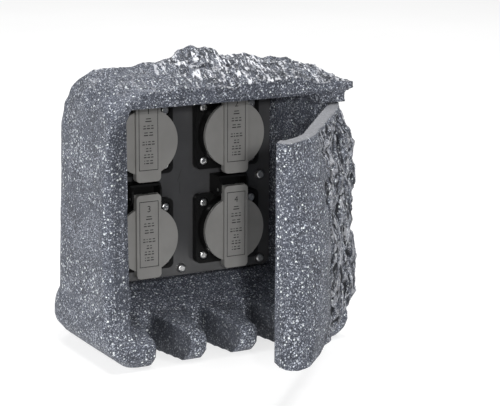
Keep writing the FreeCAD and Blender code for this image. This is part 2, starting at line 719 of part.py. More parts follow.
def socket_base(cx, cz):
    half = FLANGE / 2
    back = FLANGE_BACK
    flange = rounded_plate(cx - half, cx + half, cz - half, cz + half, FLANGE_FRONT, back, FLANGE_R)
    collar = rod_y(cx, cz, COLLAR_FRONT, FLANGE_FRONT + 1, COLLAR_R)
    can = rod_y(cx, cz, FLANGE_FRONT, CAN_BACK, WELL_R + CAN_WALL)
    w = HOUSING_W / 2
    top = cz + HOUSING_TOP_Z
    low = cz + HOUSING_LOW_Z
    plate = box(cx - w, cx + w, FLANGE_FRONT, back, cz + half - 4, top)
    roof = box(cx - w, cx + w, AXIS_Y - 1, FLANGE_FRONT + 1, top - HOUSING_WALL, top)
    walls = []
    for x0 in (cx - w, cx + w - HOUSING_WALL):
        outline = [Vector(x0, FLANGE_FRONT + 1, low), Vector(x0, EAR_FRONT + 3, low),
                   Vector(x0, EAR_FRONT, low + 3), Vector(x0, EAR_FRONT, top - 4),
                   Vector(x0, EAR_FRONT + 3, top), Vector(x0, FLANGE_FRONT + 1, top)]
        walls.append(prism(outline, Vector(HOUSING_WALL, 0, 0)))
    base = flange.multiFuse([collar, can, plate, roof] + walls)
    base = base.cut(rod_y(cx, cz, COLLAR_FRONT - 1, CAN_BACK - CAN_FLOOR, WELL_R))
    base = base.cut(rod_x(AXIS_Y, cz + AXIS_Z, cx - w - 1, cx + w + 1, PIN_R))
    for x, z in flange_screw_places(cx, cz):
        base = base.cut(rod_y(x, z, FLANGE_FRONT - 1, BORE_FLOOR, BORE_R))
        base = base.cut(rod_y(x, z, BORE_FLOOR - 1, back + 1, SCREW_R))
    return base


def socket_pad(cx, cz):
    # thin rubber pad behind the flange and its hinge housing
    half = FLANGE / 2 - 0.6
    y0 = FLANGE_BACK
    pad = rounded_plate(cx - half, cx + half, cz - half, cz + half, y0, PANEL_FRONT, FLANGE_R)
    pad = pad.cut(rod_y(cx, cz, y0 - 1, PANEL_FRONT + 1, WELL_R + CAN_WALL + CAN_FIT))
    for x, z in flange_screw_places(cx, cz):
        pad = pad.cut(rod_y(x, z, y0 - 1, PANEL_FRONT + 1, SCREW_R))
    return pad


def insert(cx, cz):
    front = WELL_FLOOR
    back = front + INSERT_T
    disc = rod_y(cx, cz, front, back, WELL_R - INSERT_FIT)
    for sx in (-1, 1):
        x = cx + sx * CONTACT_OFF
        disc = disc.cut(rod_y(x, cz, front - 1, back + 1, SLEEVE_BORE_R))
        disc = disc.cut(rod_y(x, cz, front + 1.5, back + 1, SLEEVE_R))
    for sz in (-1, 1):
        z0 = cz + sz * (WELL_R - 1.4)
        z1 = cz + sz * (WELL_R + 1.0)
        w = EARTH_W / 2 + 0.1
        disc = disc.cut(box(cx - w, cx + w, front - 1, back + 1, min(z0, z1), max(z0, z1)))
    return disc


def contact_sleeves(cx, cz):
    front = WELL_FLOOR
    tubes = []
    for sx in (-1, 1):
        x = cx + sx * CONTACT_OFF
        tube = rod_y(x, cz, front + 1.5, front + INSERT_T - 0.1, SLEEVE_R)
        tubes.append(tube.cut(rod_y(x, cz, front, front + INSERT_T + 1, SLEEVE_BORE_R)))
    return Part.makeCompound(tubes)


def earth_bracket(cx, cz):
    front = WELL_FLOOR
    w = EARTH_W / 2
    back = front + INSERT_T
    out = WELL_R - 0.5
    strip = box(cx - w, cx + w, back, back + EARTH_T, cz - out, cz + out)
    parts = [strip]
    for sz in (-1, 1):
        z0 = cz + sz * (out - EARTH_T)
        z1 = cz + sz * out
        parts.append(box(cx - w, cx + w, front - 9, back + EARTH_T, min(z0, z1), max(z0, z1)))
        y = front - 6
        bump = [Vector(cx - w, y - 2.5, z0), Vector(cx - w, y, z0 - sz * 1.3), Vector(cx - w, y + 2.5, z0)]
        parts.append(prism(bump, Vector(EARTH_W, 0, 0)))
    return fuse_all(parts)


def lid(cx, cz):
    disc = rod_y(cx, cz, LID_FACE, LID_BACK, LID_R)
    w = BAR_W / 2
    back = LID_BACK
    bar = rounded_plate(cx - w, cx + w, cz + TAB_Z, cz + BAR_TOP_Z, BAR_FACE, back, 3.0)
    frame_in = 2.0
    groove = 0.5
    x0, x1 = cx - w + frame_in, cx + w - frame_in
    z0, z1 = cz + TAB_Z + 8.0, cz + BAR_TOP_Z - 4.5
    ring = box(x0, x1, BAR_FACE - 1, BAR_FACE + 0.35, z0, z1)
    ring = ring.cut(box(x0 + groove, x1 - groove, BAR_FACE - 2, BAR_FACE + 2, z0 + groove, z1 - groove))
    axis_z = cz + AXIS_Z
    knuckle = rod_x(AXIS_Y, axis_z, cx - w, cx + w, KNUCKLE_R)
    neck = box(cx - w, cx + w, back - 1, AXIS_Y, axis_z - KNUCKLE_R, axis_z + 1)
    shape = disc.multiFuse([bar, knuckle, neck]).cut(ring)
    gap = SPRING_HALF + 0.4
    shape = shape.cut(rod_x(AXIS_Y, axis_z, cx - gap, cx + gap, KNUCKLE_R + 0.6))
    return shape.cut(rod_x(AXIS_Y, axis_z, cx - w - 1, cx + w + 1, PIN_R + PIN_PLAY))


def lid_seal(cx, cz):
    y0 = LID_BACK
    ring = rod_y(cx, cz, y0, y0 + SEAL_T, LID_R - 0.6)
    return ring.cut(rod_y(cx, cz, y0 - 1, y0 + 5, WELL_R + 0.6))


def lid_pin(cx, cz):
    w = HOUSING_W / 2
    return rod_x(AXIS_Y, cz + AXIS_Z, cx - w, cx + w, PIN_R)


def lid_spring(cx, cz):
    coil = rod_x(AXIS_Y, cz + AXIS_Z, cx - SPRING_HALF, cx + SPRING_HALF, SPRING_R)
    return coil.cut(rod_x(AXIS_Y, cz + AXIS_Z, cx - 5, cx + 5, PIN_R))


def hex_y(x, z, y0, y1, across):
    points = []
    r = across / 2 / math.cos(math.pi / 6)
    for k in range(6):
        a = math.pi / 3 * k + math.pi / 6
        points.append(Vector(x + r * math.cos(a), y0, z + r * math.sin(a)))
    return prism(points, Vector(0, y1 - y0, 0))


def gland_body():
    thread = rod_y(0, GLAND_Z, CAVITY_BACK - THREAD_IN, REAR + THREAD_OUT, GLAND_R)
    collar = hex_y(0, GLAND_Z, REAR, REAR + 3.5, NUT_R * 2)
    body = thread.fuse(collar)
    body = body.cut(rod_y(0, GLAND_Z, 0, REAR + 5, GLAND_BORE + 0.5))
    return body.cut(rod_y(0, GLAND_Z, REAR + 4, REAR + 20, GLAND_BORE + SEAL_WALL))


def gland_lock_nut():
    nut = hex_y(0, GLAND_Z, CAVITY_BACK - 3.5, CAVITY_BACK, NUT_R * 2)
    return nut.cut(rod_y(0, GLAND_Z, 0, REAR, GLAND_R))


def gland_seal():
    ring = rod_y(0, GLAND_Z, REAR + 5.0, REAR + 13.0, GLAND_BORE + SEAL_WALL)
    return ring.cut(rod_y(0, GLAND_Z, 0, REAR + 20, GLAND_BORE))


def gland_dome_nut():
    start = REAR + 3.8
    body = hex_y(0, GLAND_Z, start, start + 7, NUT_R * 2 - 1)
    end = Vector(0, start + 7, GLAND_Z)
    dome = Part.makeCone(NUT_R - 1.2, GLAND_BORE + SEAL_WALL, 5.5, end, Vector(0, 1, 0))
    nut = body.fuse(dome)
    nut = nut.cut(rod_y(0, GLAND_Z, 0, REAR + 12.2, GLAND_R))
    nut = nut.cut(rod_y(0, GLAND_Z, 0, REAR + 13.2, GLAND_BORE + SEAL_WALL))
    return nut.cut(rod_y(0, GLAND_Z, 0, REAR + 20, GLAND_BORE + 0.4))


def terminal_block():
    front = CAVITY_BACK - BLOCK_DEEP
    middle = front + BLOCK_DEEP / 2
    low = SOCKET_Z - BLOCK_HALF_H
    high = SOCKET_Z + BLOCK_HALF_H
    half = POLE + 4.5
    block = box(-half, half, front, CAVITY_BACK, low, high)
    for x in (-POLE, 0, POLE):
        block = block.cut(rod_z(x, middle, low - 1, high + 1, 1.6))
        block = block.cut(rod_y(x, SOCKET_Z, front - 1, middle, 2.2))
    return block


def wire(points):
    # a round wire along straight runs with a ball at each bend
    parts = []
    for a, b in zip(points, points[1:]):
        run = Vector(b[0] - a[0], b[1] - a[1], b[2] - a[2])
        parts.append(Part.makeCylinder(WIRE_R, run.Length, Vector(*a), run))
    for p in points[1:-1]:
        parts.append(Part.makeSphere(WIRE_R, Vector(*p)))
    return parts


def jumper(k):
    # from pole k of the terminal block to the four sockets
    side = (k - 1) * POLE
    off = (k - 1) * WIRE_SIDE
    depth = CAN_BACK + WIRE_BACK + k * WIRE_DEPTH
    level = SOCKET_Z + WIRE_RISE + k * WIRE_STEP
    middle = CAVITY_BACK - BLOCK_DEEP / 2
    fork = (side, depth, level)
    parts = wire([(side, middle, SOCKET_Z - 2), (side, middle, SOCKET_Z + 10), fork])
    parts.append(Part.makeSphere(WIRE_R, Vector(*fork)))
    for col in (-1, 1):
        x = col * PITCH / 2 + off
        corner = (x, depth, level)
        parts += wire([fork, corner])
        parts.append(Part.makeSphere(WIRE_R, Vector(*corner)))
        for row in (-1, 1):
            z = SOCKET_Z + row * PITCH / 2
            parts += wire([corner, (x, depth, z), (x, CAN_BACK, z)])
    return fuse_all(parts)


def build():
    save(stone_body(), "stone_body")
    save(door_shell(), "door_shell")
    save(door_hinge_pins(), "door_hinge_pins")
    save(door_washer(), "door_washer")
    save(panel(), "socket_panel")
    save(panel_gasket(), "panel_gasket")
    save(panel_screws(), "panel_screws")
    save(flange_screws(), "flange_screws")
    for place, (cx, cz) in CENTRES.items():
        save(socket_base(cx, cz), "socket_base_" + place)
        save(socket_pad(cx, cz), "socket_pad_" + place)
        save(insert(cx, cz), "socket_insert_" + place)
        save(contact_sleeves(cx, cz), "contact_sleeves_" + place)
        save(earth_bracket(cx, cz), "earth_bracket_" + place)
        save(lid(cx, cz), "lid_" + place)
        save(lid_seal(cx, cz), "lid_seal_" + place)
        save(lid_pin(cx, cz), "lid_pin_" + place)
        save(lid_spring(cx, cz), "lid_spring_" + place)
    save(gland_body(), "gland_body")
    save(gland_lock_nut(), "gland_lock_nut")
    save(gland_seal(), "gland_seal")
    save(gland_dome_nut(), "gland_dome_nut")
    save(terminal_block(), "terminal_block")
    for k, name in enumerate(("phase_wire", "neutral_wire", "earth_wire")):
        save(jumper(k), name)


build()
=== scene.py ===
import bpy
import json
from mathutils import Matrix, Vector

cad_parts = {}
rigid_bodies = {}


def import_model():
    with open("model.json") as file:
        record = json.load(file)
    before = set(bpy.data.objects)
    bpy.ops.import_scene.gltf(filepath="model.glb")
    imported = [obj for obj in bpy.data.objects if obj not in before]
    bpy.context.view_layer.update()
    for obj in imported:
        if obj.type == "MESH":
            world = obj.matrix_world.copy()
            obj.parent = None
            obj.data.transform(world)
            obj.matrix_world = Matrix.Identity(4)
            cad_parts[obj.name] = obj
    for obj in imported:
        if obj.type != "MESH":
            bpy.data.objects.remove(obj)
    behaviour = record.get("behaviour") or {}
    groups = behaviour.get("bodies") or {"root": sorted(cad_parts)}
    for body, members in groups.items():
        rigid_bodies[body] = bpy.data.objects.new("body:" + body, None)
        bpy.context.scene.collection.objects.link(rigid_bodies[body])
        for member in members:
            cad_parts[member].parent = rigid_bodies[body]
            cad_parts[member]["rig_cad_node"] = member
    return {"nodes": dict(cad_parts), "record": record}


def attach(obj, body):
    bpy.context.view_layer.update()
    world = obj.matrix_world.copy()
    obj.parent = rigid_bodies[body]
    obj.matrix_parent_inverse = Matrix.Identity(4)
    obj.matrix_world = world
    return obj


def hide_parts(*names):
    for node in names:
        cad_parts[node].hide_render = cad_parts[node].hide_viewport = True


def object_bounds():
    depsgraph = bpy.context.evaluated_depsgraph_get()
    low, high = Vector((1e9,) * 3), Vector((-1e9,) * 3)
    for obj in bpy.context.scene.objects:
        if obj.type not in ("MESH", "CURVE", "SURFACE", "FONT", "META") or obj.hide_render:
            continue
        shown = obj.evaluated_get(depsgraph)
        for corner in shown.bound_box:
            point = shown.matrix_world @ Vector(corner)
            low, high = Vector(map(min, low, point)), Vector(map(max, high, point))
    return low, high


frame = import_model()

# %% [markdown]
# A garden rock power point: a cast-resin stone block with a recess, four sprung socket lids on a black
# panel, and a hollow rock-faced door that stands half open. The CAD model gives every shape and place.
# This script gives it surfaces, small details, light and a camera. All lengths are in metres.

# %% Imports and the size of the CAD model
import bmesh
import bpy
import math
import numpy
from mathutils import Matrix, Vector
from mathutils import noise as noises

NOISE_SEED = 11
noises.seed_set(NOISE_SEED)
size_at_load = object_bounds()
for corner in size_at_load:
    print("CAD box corner:", [round(v, 4) for v in corner])

# %% [markdown]
# Details have to land on the CAD parts, so their places are taken from the model's hinges and not typed
# in again. A lid turns about a pin a fixed height above the middle of its socket, and the door stands
# open by the angle that closing it would take.

# %% Places of the sockets and of the door's hinge
PIN_ABOVE_SOCKET = 0.0288
joints = {joint["name"]: joint for joint in frame["record"]["behaviour"]["joints"]}
SOCKETS = {}
for place in ("tl", "tr", "bl", "br"):
    x, y, z = joints["lid_hinge_" + place]["pos_m"]
    SOCKETS[place] = (x, round(z - PIN_ABOVE_SOCKET, 5))
HINGE = Vector(joints["door_hinge"]["pos_m"])
OPEN = math.radians(-joints["door_hinge"]["range_deg"][0])
print("sockets:", SOCKETS, "door open by", round(math.degrees(OPEN), 1), "degrees")

# %% [markdown]
# The camera stands far away to the front left, a little above the block, with a long lens, as a product
# photographer would use it. It could be aimed with a tracking constraint. Three plain angles were chosen,
# because they and the camera's place can be worked out from the spacing of the socket screws.

# %% Camera
AZIMUTH, ELEVATION, ROLL = math.radians(29.13), math.radians(12.66), math.radians(0.321)
CAMERA_AT = (-0.5584, -1.0839, 0.3696)
SENSOR = 36.0
FOCAL_PIXELS, IMAGE_PIXELS = 1800.0, 500.0
level = math.cos(ELEVATION)
back = Vector((-math.sin(AZIMUTH) * level, -math.cos(AZIMUTH) * level, math.sin(ELEVATION)))
right = Vector((math.cos(AZIMUTH), -math.sin(AZIMUTH), 0.0))
up = right.cross(-back)
tilted_right = right * math.cos(ROLL) + up * math.sin(ROLL)
tilted_up = up * math.cos(ROLL) - right * math.sin(ROLL)
camera_data = bpy.data.cameras.new("camera")
camera = bpy.data.objects.new("camera", camera_data)
bpy.context.scene.collection.objects.link(camera)
turn = Matrix((tilted_right, tilted_up, back)).transposed().to_4x4()
camera.matrix_world = Matrix.Translation(CAMERA_AT) @ turn
camera_data.sensor_width = SENSOR
camera_data.lens = SENSOR * FOCAL_PIXELS / IMAGE_PIXELS
camera_data.clip_start = 0.05
camera_data.clip_end = 50.0
bpy.context.scene.camera = camera
bpy.context.scene.view_settings.view_transform = "Standard"
print("camera lens", round(camera_data.lens, 1), "mm")

# %% [markdown]
# A material is a net of nodes, which could be wired one link at a time. Shader maths is easier to read
# as arithmetic, so this small class wraps a node's socket: it can be added, multiplied and compared, and
# it makes any other node with one call. Settings are set before the sockets get their values.

# %% Socket wrapper
class Sock:
    def __init__(self, tree, socket):
        self.tree = tree
        self.socket = socket

    def node(self, kind, inputs, output=0, **settings):
        made = self.tree.nodes.new(kind)
        for key, value in settings.items():
            setattr(made, key, value)
        for key, value in inputs.items():
            if isinstance(value, Sock):
                self.tree.links.new(value.socket, made.inputs[key])
            else:
                made.inputs[key].default_value = value
        return Sock(self.tree, made.outputs[output])

    def other(self, output):
        # another output of the node that this socket belongs to
        return Sock(self.tree, self.socket.node.outputs[output])

    def math(self, operation, a, b):
        return self.node("ShaderNodeMath", {0: a, 1: b}, operation=operation)

    def __add__(self, other):
        return self.math("ADD", self, other)

    def __sub__(self, other):
        return self.math("SUBTRACT", self, other)

    def __rsub__(self, other):
        return self.math("SUBTRACT", other, self)

    def __mul__(self, other):
        return self.math("MULTIPLY", self, other)

    def __lt__(self, other):
        return self.math("LESS_THAN", self, other)

    __radd__ = __add__
    __rmul__ = __mul__

    def ramp(self, low, high):
        # 0 below low, 1 above high, and a smooth rise between them; it falls where low is above high
        keys = {"Value": self, "From Min": low, "From Max": high, "To Min": 0.0, "To Max": 1.0}
        return self.node("ShaderNodeMapRange", keys, interpolation_type="SMOOTHSTEP")

    def tint(self, first, second):
        # from the first colour at 0 to the second at 1; a Mix node's colours are its sockets 6, 7 and 2
        keys = {"Factor": self, 6: first, 7: second}
        return self.node("ShaderNodeMix", keys, output=2, data_type="RGBA")


print("socket wrapper ready")

# %% [markdown]
# Every finish starts the same way: a new material, its main shader, and the coordinates of the piece.
# Object coordinates are used and not a generated map, because the grains then have their real size in
# metres on every piece.

# %% Helpers that every material uses
def new_material(name):
    # a material, its main shader, and the place on the piece that all patterns start from
    material = bpy.data.materials.new(name)
    material.use_nodes = True
    tree = material.node_tree
    shader = next(n for n in tree.nodes if n.type == "BSDF_PRINCIPLED")
    start = Sock(tree, tree.nodes.new("ShaderNodeTexCoord").outputs["Object"])
    return material, shader, start


def plug(shader, **links):
    for key, value in links.items():
        name = key.replace("_", " ").title().replace("Ior", "IOR")
        if isinstance(value, Sock):
            value.tree.links.new(value.socket, shader.inputs[name])
        else:
            shader.inputs[name].default_value = value


def noise(at, scale, detail=3.0, rough=0.55):
    # a cloudy pattern, with about as many blotches to the metre as the scale says
    keys = {"Vector": at, "Scale": scale, "Detail": detail, "Roughness": rough}
    return at.node("ShaderNodeTexNoise", keys)


def bump(at, height, strength, distance):
    return at.node("ShaderNodeBump", {"Height": height, "Strength": strength, "Distance": distance})


def rgba(colour, scale=1.0):
    return [min(1.0, c * scale) for c in colour] + [1.0]


print("material helpers ready")

# %% [markdown]
# The stone is resin filled with stone chips: a slate-grey ground crowded with pale grains between about
# half a millimetre and two millimetres across, and some dark ones. Grains could be a plain noise, but
# then they have no clear edges. Here they are cells of a Voronoi pattern, of which only some are filled,
# in three layers of different size; only the finest dust is a noise.

# %% Grains in the stone
GROUND = (0.044, 0.049, 0.064)
PALE = (0.50, 0.53, 0.60)
DARK_CHIP = (0.014, 0.015, 0.019)
# width of a cell, share of the cells that hold a grain, smallest and largest radius in cells
FLAKES = (0.0020, 0.38, 0.17, 0.45)
SALT = (0.00115, 0.60, 0.25, 0.53)
PEPPER = (0.0019, 0.26, 0.16, 0.42)
GRAIN_EDGE = 0.10
RAGGED_SCALE, RAGGED_REACH = 1500.0, 0.0007


def shaken(at, scale, reach):
    # the place, moved a little this way and that, so that what follows has ragged edges
    shake = at.node("ShaderNodeTexNoise", {"Vector": at, "Scale": scale, "Detail": 1.0}, output="Color")
    keys = {0: shake, 1: (reach, reach, reach), 2: at}
    return at.node("ShaderNodeVectorMath", keys, operation="MULTIPLY_ADD")


def grains(at, kind, crowd=0.0):
    # mask of scattered grains, and a chance value for each of them
    across, share, small, large = kind
    cell = at.node("ShaderNodeTexVoronoi", {"Vector": at, "Scale": 1.0 / across}, output="Distance")
    chance = at.node("ShaderNodeSeparateColor", {"Color": cell.other("Color")}, output="Red")
    radius = chance.other("Green") * (large - small) + small
    inside = (radius - cell).ramp(0.0, GRAIN_EDGE)
    return inside * (chance < share + crowd), chance.other("Blue")


def speckle(at, crowd):
    # colour and height of the stone; crowd makes the pale grains more numerous
    ragged = shaken(at, RAGGED_SCALE, RAGGED_REACH)
    flakes, flake_tone = grains(ragged, FLAKES, crowd)
    salt, salt_tone = grains(ragged, SALT, crowd)
    pepper = grains(ragged, PEPPER)[0]
    dust = noise(at, 1100.0, 2.0, 0.6).ramp(0.52, 0.62)
    cloud = noise(at, 70.0, 4.0).ramp(0.3, 0.7)
    grey = noise(at, 520.0, 3.0, 0.65).ramp(0.35, 0.72)
    colour = cloud.tint(rgba(GROUND, 0.65), rgba(GROUND, 1.35))
    colour = (grey * 0.5).tint(colour, rgba(GROUND, 1.9))
    colour = (dust * 0.45).tint(colour, rgba(PALE, 0.7))
    colour = (pepper * 0.85).tint(colour, rgba(DARK_CHIP))
    colour = (salt * 0.9).tint(colour, salt_tone.tint(rgba(PALE, 0.40), rgba(PALE, 1.3)))
    colour = (flakes * 0.95).tint(colour, flake_tone.tint(rgba(PALE, 0.65), rgba(PALE, 1.9)))
    return colour, grey * 0.5 + salt * 0.3 + flakes * 0.4 - pepper * 0.3


print("grain layers: flakes", FLAKES, "salt", SALT, "pepper", PEPPER)

# %% [markdown]
# Smooth cast stone is that speckle with a slight bump, made darker where the mesh says so: painted shade
# in the cable gaps and on the front of the left wall. The painted shade could be put on by hand; here it
# is an attribute, a value that is stored at every point of the mesh.

# %% Smooth stone
def marked(at, layer):
    # what the mesh stores at its points under this name, 0 where it stores nothing
    return at.node("ShaderNodeAttribute", {}, output="Fac", attribute_name=layer)


def stone_material(name):
    material, shader, at = new_material(name)
    colour, height = speckle(at, 0.0)
    # the stone is darkened by the value the mesh stores, as painted shade in the cable gaps and on the
    # front of the left wall
    colour = (marked(at, "dirt") * 0.7).tint(colour, rgba(GROUND, 0.45))
    plug(shader, base_color=colour, roughness=0.62, specular_ior_level=0.35)
    plug(shader, normal=bump(at, height, 0.5, 0.0005))
    return material


stone = stone_material("stone_speckled")
print("smooth stone made")

# %% [markdown]
# Broken rock has a grain: it is stained dark and scratched white along one direction, its high edges are
# rubbed chalky, and its hollows stay dark. One noise, stretched along the grain by a Mapping node, gives
# the streaks. Where the rock is high, hollow, broken or sawn plain is again read from the mesh.

# %% Broken rock
CHALK = (0.72, 0.73, 0.77)
GRAIN_STRETCH = (1.0, 9.0, 2.0)
STRATA_TURN = math.radians(-16.8)
DOOR_GRAIN_TILT = math.radians(75.0)


def rock_material(name, crowd, chalk, pit, lean, streaks):
    # chalk, pit and streaks say how strong the rubbed edges, dark hollows and white scratches are; lean
    # turns the grain of the rock
    material, shader, at = new_material(name)
    colour, height = speckle(at, crowd)
    worn, plain, broken = (marked(at, layer) for layer in ("worn", "plain", "broken"))
    keys = {"Vector": at, "Rotation": lean, "Scale": GRAIN_STRETCH}
    grain = at.node("ShaderNodeMapping", keys, vector_type="TEXTURE")
    stain = noise(grain, 460.0, 3.0, 0.6).ramp(0.48, 0.60) * broken
    colour = (stain * pit).tint(colour, rgba(GROUND, 0.32))
    scratch = noise(grain, 400.0, 4.0, 0.62)
    white = scratch.ramp(0.53, 0.60) * noise(at, 60.0, 2.0).ramp(0.36, 0.54)
    colour = (white * broken * streaks).tint(colour, rgba(CHALK, 1.1))
    low = worn.ramp(0.48, 0.26)
    colour = (low * pit).tint(colour, rgba(GROUND, 0.28))
    patch = noise(at, 210.0, 4.0, 0.7).ramp(0.40, 0.60)
    high = worn.ramp(0.56, 0.78) * patch * chalk
    colour = high.tint(colour, rgba(CHALK))
    powder = noise(at, 900.0, 3.0).ramp(0.3, 0.7).tint(rgba(CHALK, 0.27), rgba(CHALK, 0.37))
    colour = (plain * 0.85).tint(colour, powder)
    height = height + noise(at, 260.0, 5.0, 0.75) * 1.2 * (1.0 - plain) + scratch * broken * 3.0
    plug(shader, base_color=colour, roughness=0.7, specular_ior_level=0.3)
    plug(shader, normal=bump(at, height, 0.7, 0.0007))
    return material


rock = rock_material("stone_broken", crowd=0.0, chalk=0.7, pit=0.75,
                     lean=(0.0, 0.0, STRATA_TURN), streaks=1.0)
door_rock = rock_material("stone_door", crowd=0.06, chalk=0.32, pit=1.0,
                          lean=(DOOR_GRAIN_TILT, 0.0, OPEN), streaks=0.40)
print("broken rock made for the crown and the door")

# %% [markdown]
# The plastics are moulded parts with a very fine grain. The lids are a warm mid grey, the socket bodies
# and the panel black; the panel is shiny enough to mirror its surroundings softly. A single flat colour
# looks like paint, so each one drifts a little between two tones, and so does its roughness.

# %% Plastics and rubber
def plastic(name, colour, roughness, grain=0.25, specular=0.5):
    material, shader, at = new_material(name)
    drift = noise(at, 60.0, 3.0).ramp(0.3, 0.7)
    plug(shader, base_color=drift.tint(rgba(colour, 0.9), rgba(colour)))
    plug(shader, roughness=noise(at, 380.0, 3.0) * 0.10 + (roughness - 0.05), specular_ior_level=specular)
    plug(shader, normal=bump(at, noise(at, 1600.0, 2.0), grain, 0.00015))
    return material


lid_grey = plastic("lid_grey", (0.245, 0.240, 0.230), 0.42, 0.2)
black_satin = plastic("black_satin", (0.003, 0.003, 0.003), 0.45, 0.3, 0.25)
black_panel = plastic("black_panel", (0.060, 0.060, 0.062), 0.22, 0.05, 0.6)
rubber = plastic("rubber_black", (0.012, 0.012, 0.012), 0.75, 0.4, 0.3)
insert_grey = plastic("insert_grey", (0.05, 0.05, 0.05), 0.5)
nylon = plastic("nylon_white", (0.62, 0.61, 0.57), 0.45)
terminal_grey = plastic("terminal_grey", (0.45, 0.45, 0.43), 0.5)
brown = plastic("wire_brown", (0.07, 0.03, 0.012), 0.45)
blue = plastic("wire_blue", (0.012, 0.05, 0.28), 0.45)
green = plastic("wire_green", (0.05, 0.22, 0.02), 0.45)
print("plastics and rubber made")

# %% [markdown]
# The screws and pins are bright steel, some contacts brass. A metal shows little but what it mirrors, so
# it needs no pattern of its own: a roughness that varies from spot to spot blurs the mirror image here
# more and there less, which is how a turned and handled part looks.

# %% Metals
def metal(name, colour, roughness):
    material, shader, at = new_material(name)
    drift = noise(at, 500.0, 3.0).ramp(0.3, 0.7)
    plug(shader, base_color=drift.tint(rgba(colour, 0.82), rgba(colour)), metallic=1.0)
    plug(shader, roughness=noise(at, 900.0, 2.0) * 0.15 + roughness)
    return material


steel = metal("steel_bright", (0.72, 0.72, 0.71), 0.22)
brass = metal("brass", (0.75, 0.55, 0.22), 0.28)
print("metals made")

# %% [markdown]
# Every CAD part names a finish in its record. Each could be dressed in a line of its own, but one table
# from these names to the materials above forgets no part: a name that is missing stops the script.

# %% Dress every CAD part
LOOKS = {
    "stone": stone, "steel": steel, "nylon": nylon, "brass": brass, "rubber": rubber,
    "panel_black": black_panel, "socket_black": black_satin, "gland_black": black_satin,
    "lid_grey": lid_grey, "insert_grey": insert_grey, "terminal_grey": terminal_grey,
    "wire_brown": brown, "wire_blue": blue, "wire_green": green,
}
for part in frame["record"]["subparts"]:
    node = frame["nodes"][part["node"]]
    node.data.materials.clear()
    node.data.materials.append(LOOKS[part["material_slot"]])

# %% [markdown]
# Plain CAD faces are too clean and too few for broken rock. Sculpting would need a hand, so the stone
# block and the door each get an even skin of small faces instead: a voxel remesh makes it, a shrinkwrap
# lays it back on the CAD shape, and a light smooth takes out the steps. Its points can then be moved.

# %% An even skin over a CAD part
def select_only(pieces):
    bpy.ops.object.select_all(action="DESELECT")
    for piece in pieces:
        piece.select_set(True)
    bpy.context.view_layer.objects.active = pieces[0]


def even_skin(node, name, size):
    select_only([node])
    bpy.ops.object.duplicate()
    piece = bpy.context.object
    del piece["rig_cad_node"]
    piece.name = name
    skin = piece.modifiers.new("even_skin", "REMESH")
    skin.mode = "VOXEL"
    skin.voxel_size = size
    bpy.ops.object.modifier_apply(modifier=skin.name)
    fit = piece.modifiers.new("fit", "SHRINKWRAP")
    fit.target = node
    bpy.ops.object.modifier_apply(modifier=fit.name)
    soften = piece.modifiers.new("soften", "SMOOTH")
    soften.factor = 0.5
    soften.iterations = 1
    bpy.ops.object.modifier_apply(modifier=soften.name)
    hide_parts(node.name)
    return piece


def split_up(piece, wanted):
    # cuts the faces whose middle passes the test into four
    work = bmesh.new()
    work.from_mesh(piece.data)
    work.edges.index_update()
    work.edges.ensure_lookup_table()
    faces = [face for face in work.faces if wanted(face.calc_center_median())]
    numbers = sorted({edge.index for face in faces for edge in face.edges})
    # a set has no order of its own, and the cuts come out the same only in the order of their numbers
    edges = [work.edges[i] for i in numbers]
    bmesh.ops.subdivide_edges(work, edges=edges, cuts=1, use_grid_fill=True)
    bmesh.ops.triangulate(work, faces=[f for f in work.faces if len(f.verts) > 4])
    work.to_mesh(piece.data)
    work.free()
    return len(faces)


print("skin tools ready")

# %% [markdown]
# A bump in the material would only pretend: seen against the white floor, the outline has to be rough
# too, so the points themselves are moved. The relief is three kinds of noise. Smooth noise gives lumps.
# Cells of a Voronoi pattern, each tilted its own way, break the surface into flat chips with sharp steps
# between them. The fold of a noise at its zero line gives ridges.

# %% Shapes of broken rock
def smooth_step(low, high, value):
    # 0 on the side of low, 1 on the side of high
    f = min(1.0, max(0.0, (value - low) / (high - low)))
    return f * f * (3.0 - 2.0 * f)


def band(value, start, full, ease, end):
    # rises from start to full and falls from ease to end
    return smooth_step(start, full, value) * (1.0 - smooth_step(ease, end, value))


def chips(at, size, seed):
    # height of tilted flat cells at a point, about -1 to 1
    spot = at / size + Vector((seed, 0.37 * seed, 0.71 * seed))
    centre = noises.voronoi(spot)[1][0]
    tilt = noises.noise_vector(centre * 5.3 + Vector((seed, 0.0, 0.0)))
    step = noises.noise(centre * 9.1 + Vector((0.0, seed, 0.0)))
    return (spot - centre).dot(tilt) * 1.6 + step * 1.1


def ridges(at, size, seed):
    # sharp crests with round hollows between them, about -1 to 1
    spot = at / size + Vector((0.61 * seed, seed, 0.23 * seed))
    return 0.7 - 3.4 * abs(noises.noise(spot))


print("a quarter of the way, a smooth step has risen to", round(smooth_step(0.0, 1.0, 0.25), 3))

# %% [markdown]
# Two tools move the points: one by a free vector, for a change of form, and one along the surface's
# normal, for relief. Two more store values at the points for the materials. How worn a point is comes
# from how far it stands out from the average of its neighbours, taken several rings out.

# %% Tools that move and mark points
WEAR_DEPTH = 0.0011


def reshape(piece, shift_at):
    for vertex in piece.data.vertices:
        vertex.co += shift_at(vertex.co)
    piece.data.update()


def push(piece, depth_at):
    mesh = piece.data
    normals = [n.vector.copy() for n in mesh.vertex_normals]
    for vertex, normal in zip(mesh.vertices, normals):
        vertex.co += normal * depth_at(vertex.co, normal)
    mesh.update()


def at_points(piece, value_at):
    mesh = piece.data
    return [value_at(v.co, n.vector) for v, n in zip(mesh.vertices, mesh.vertex_normals)]


def mark(piece, layer, values):
    piece.data.attributes.new(layer, "FLOAT", "POINT").data.foreach_set("value", values)


